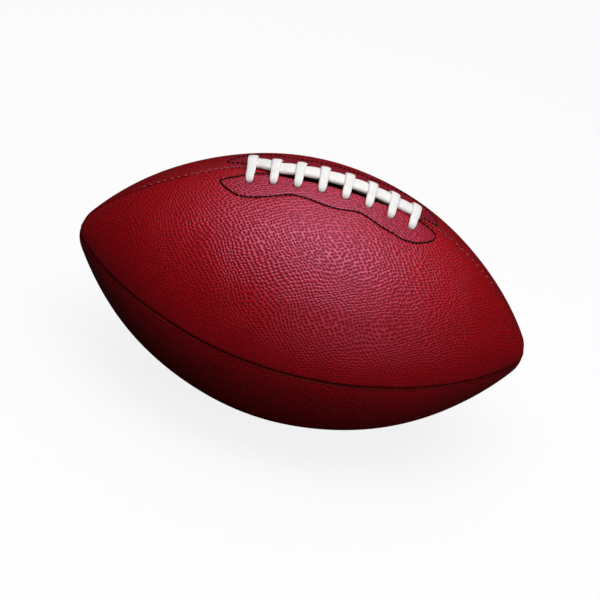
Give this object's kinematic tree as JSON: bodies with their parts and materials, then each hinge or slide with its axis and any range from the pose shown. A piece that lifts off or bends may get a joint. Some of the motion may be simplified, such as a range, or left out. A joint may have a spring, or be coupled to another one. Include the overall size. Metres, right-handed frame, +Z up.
{
  "type": "american football",
  "caption": "Laced leather ball with two pointed ends and four sewn panels, lined and blown up by a needle valve, for throwing, catching and kicking.",
  "frame": {"origin": "centre of the ball, on its long axis midway between the tips", "axes": "+X along the ball towards one tip, +Z up through the middle of the lacing, -Y towards the front panels"},
  "size_m": [0.288, 0.1664, 0.1714],
  "materials": {
    "panel_leather": "pebbled, satin, tacky",
    "lining_cloth": "woven ply, matte",
    "facing_leather": "split leather, matte",
    "lace_white": "grained, soft satin",
    "tongue_black": "matte",
    "bladder_rubber": "matte",
    "valve_rubber": "matte",
    "plug_rubber": "matte",
    "seam_thread": "waxed cord",
    "black_thread": "waxed cord"
  },
  "bodies": {
    "root": {"bladder": "bladder_rubber", "bottom_seam_thread": "seam_thread", "front_base_lining": "lining_cloth", "front_base_panel": "panel_leather", "front_lace_facing": "facing_leather", "front_lace_facing_stitching": "black_thread", "front_lace_lining": "lining_cloth", "front_lace_panel": "panel_leather", "front_seam_thread": "seam_thread", "lace": "lace_white", "lace_seam_thread": "seam_thread", "lace_tongue": "tongue_black", "rear_base_lining": "lining_cloth", "rear_base_panel": "panel_leather", "rear_lace_facing": "facing_leather", "rear_lace_facing_stitching": "black_thread", "rear_lace_lining": "lining_cloth", "rear_lace_panel": "panel_leather", "rear_seam_thread": "seam_thread", "valve_housing": "valve_rubber", "valve_plug": "plug_rubber"}
  },
  "joints": []
}
